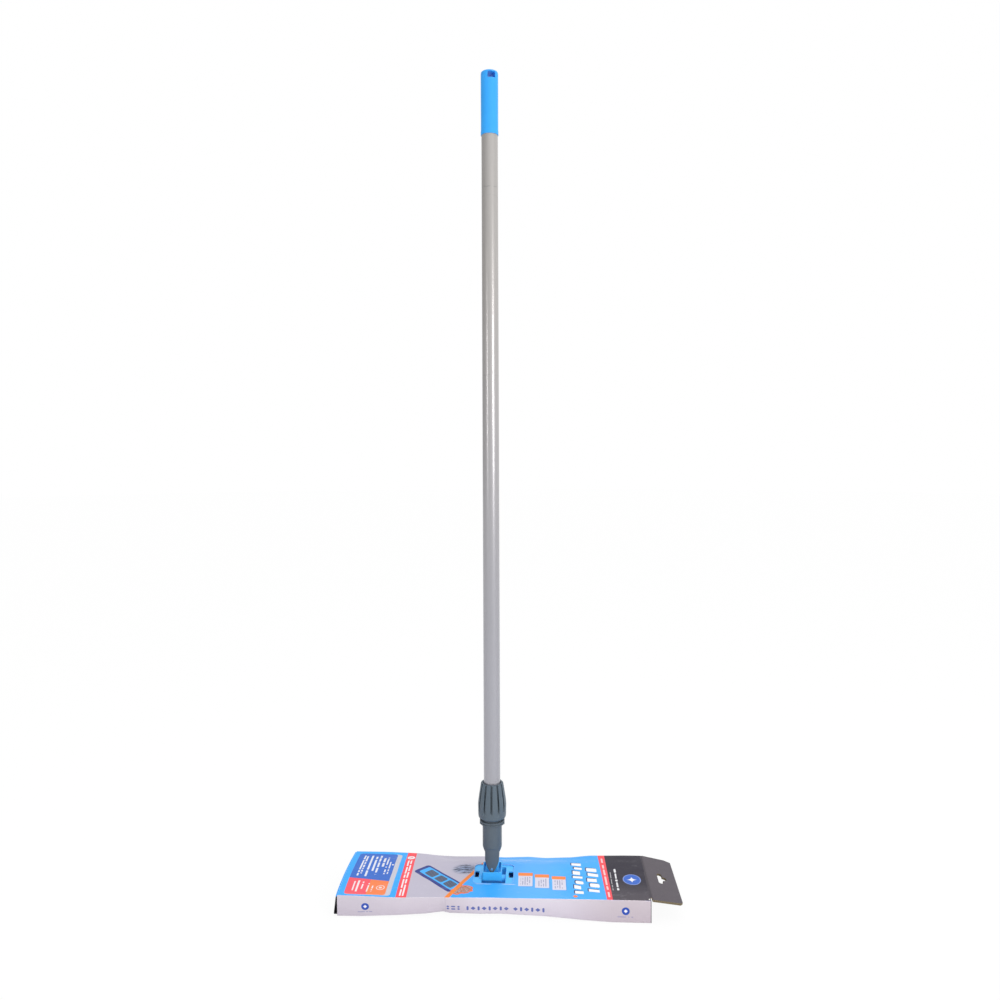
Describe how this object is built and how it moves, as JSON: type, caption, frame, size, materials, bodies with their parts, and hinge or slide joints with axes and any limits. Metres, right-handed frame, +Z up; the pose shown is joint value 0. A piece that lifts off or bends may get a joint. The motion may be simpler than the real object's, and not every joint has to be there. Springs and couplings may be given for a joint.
{
  "type": "flat mop in retail carton",
  "caption": "Flat mop standing in its printed card sleeve: hang-up grip, round pole, screw clamp, two-axis swivel, frame and pad.",
  "frame": {"origin": "on the pole's axis, in the plane the carton stands on", "axes": "+Z up along the pole; +X along the head towards the hang tab; -Y is the front, the long side facing the user"},
  "size_m": [0.4842, 0.13, 1.2],
  "materials": {
    "grip_plastic": "smooth satin blue moulding",
    "tube_paint": "silver-grey lacquer, satin",
    "plug_plastic": "black moulding",
    "clamp_plastic": "slate-grey moulding, fine grain",
    "ring_plastic": "natural nylon",
    "swivel_plastic": "smooth satin blue moulding",
    "pin_steel": "bright drawn",
    "screw_steel": "zinc plated",
    "hook_tape": "moulded hooks",
    "pad_pile": "looped microfibre",
    "pad_backing": "woven loop backing",
    "pad_binding": "folded edge tape",
    "card_print": "printed and varnished, kraft core",
    "card_dark": "printed and varnished, kraft core",
    "card_kraft": "bare kraft"
  },
  "bodies": {
    "head": {"carton_sleeve": "card_print", "carton_dust_flaps": "card_kraft", "pad_pile": "pad_pile", "pad_backing": "pad_backing", "pad_binding": "pad_binding", "hook_strips": "hook_tape", "frame_plate": "swivel_plastic", "swivel_bracket": "swivel_plastic", "bracket_screws": "screw_steel", "pitch_pin": "pin_steel", "pin_clips": "screw_steel"},
    "knuckle": {"swivel_knuckle": "swivel_plastic"},
    "socket": {"clamp_socket": "clamp_plastic", "roll_pin": "pin_steel"},
    "ring": {"grip_ring": "ring_plastic"},
    "collar": {"clamp_collar": "clamp_plastic"},
    "pole": {"pole_tube": "tube_paint", "pole_end_plug": "plug_plastic", "hanging_grip": "grip_plastic"},
    "hang_tab": {"hang_tab_face_ply": "card_dark", "hang_tab_back_ply": "card_kraft"},
    "end_flap": {"carton_end_flap": "card_dark"}
  },
  "joints": [
    {"name": "handle_pitch", "type": "hinge", "parent": "head", "child": "knuckle", "pos_m": [0, 0, 0.0245], "axis": [1, 0, 0], "range_deg": [-40, 40], "stiffness_Nm_per_rad": 5},
    {"name": "handle_roll", "type": "hinge", "parent": "knuckle", "child": "socket", "pos_m": [0, 0, 0.0445], "axis": [0, 1, 0], "range_deg": [-60, 60], "stiffness_Nm_per_rad": 5},
    {"name": "ring_lift", "type": "slide", "parent": "socket", "child": "ring", "axis": [0, 0, 1], "range_m": [0, 0.0023]},
    {"name": "collar_turn", "type": "hinge", "parent": "ring", "child": "collar", "pos_m": [0, 0, 0.14], "axis": [0, 0, 1], "range_deg": [0, 270]},
    {"name": "pole_slide", "type": "slide", "parent": "socket", "child": "pole", "axis": [0, 0, 1], "range_m": [0, 0.055]},
    {"name": "tab_fold", "type": "hinge", "parent": "head", "child": "hang_tab", "pos_m": [0.2235, 0, 0.0295], "axis": [0, 1, 0], "range_deg": [-95, 30], "stiffness_Nm_per_rad": 0.3},
    {"name": "flap_open", "type": "hinge", "parent": "head", "child": "end_flap", "pos_m": [-0.21435, 0, 0.0302], "axis": [0, 1, 0], "range_deg": [-7, 100], "stiffness_Nm_per_rad": 0.05}
  ],
  "couplings": [
    {"joint": "ring_lift", "follows": "collar_turn", "m_per_rad": 0.0004775}
  ]
}
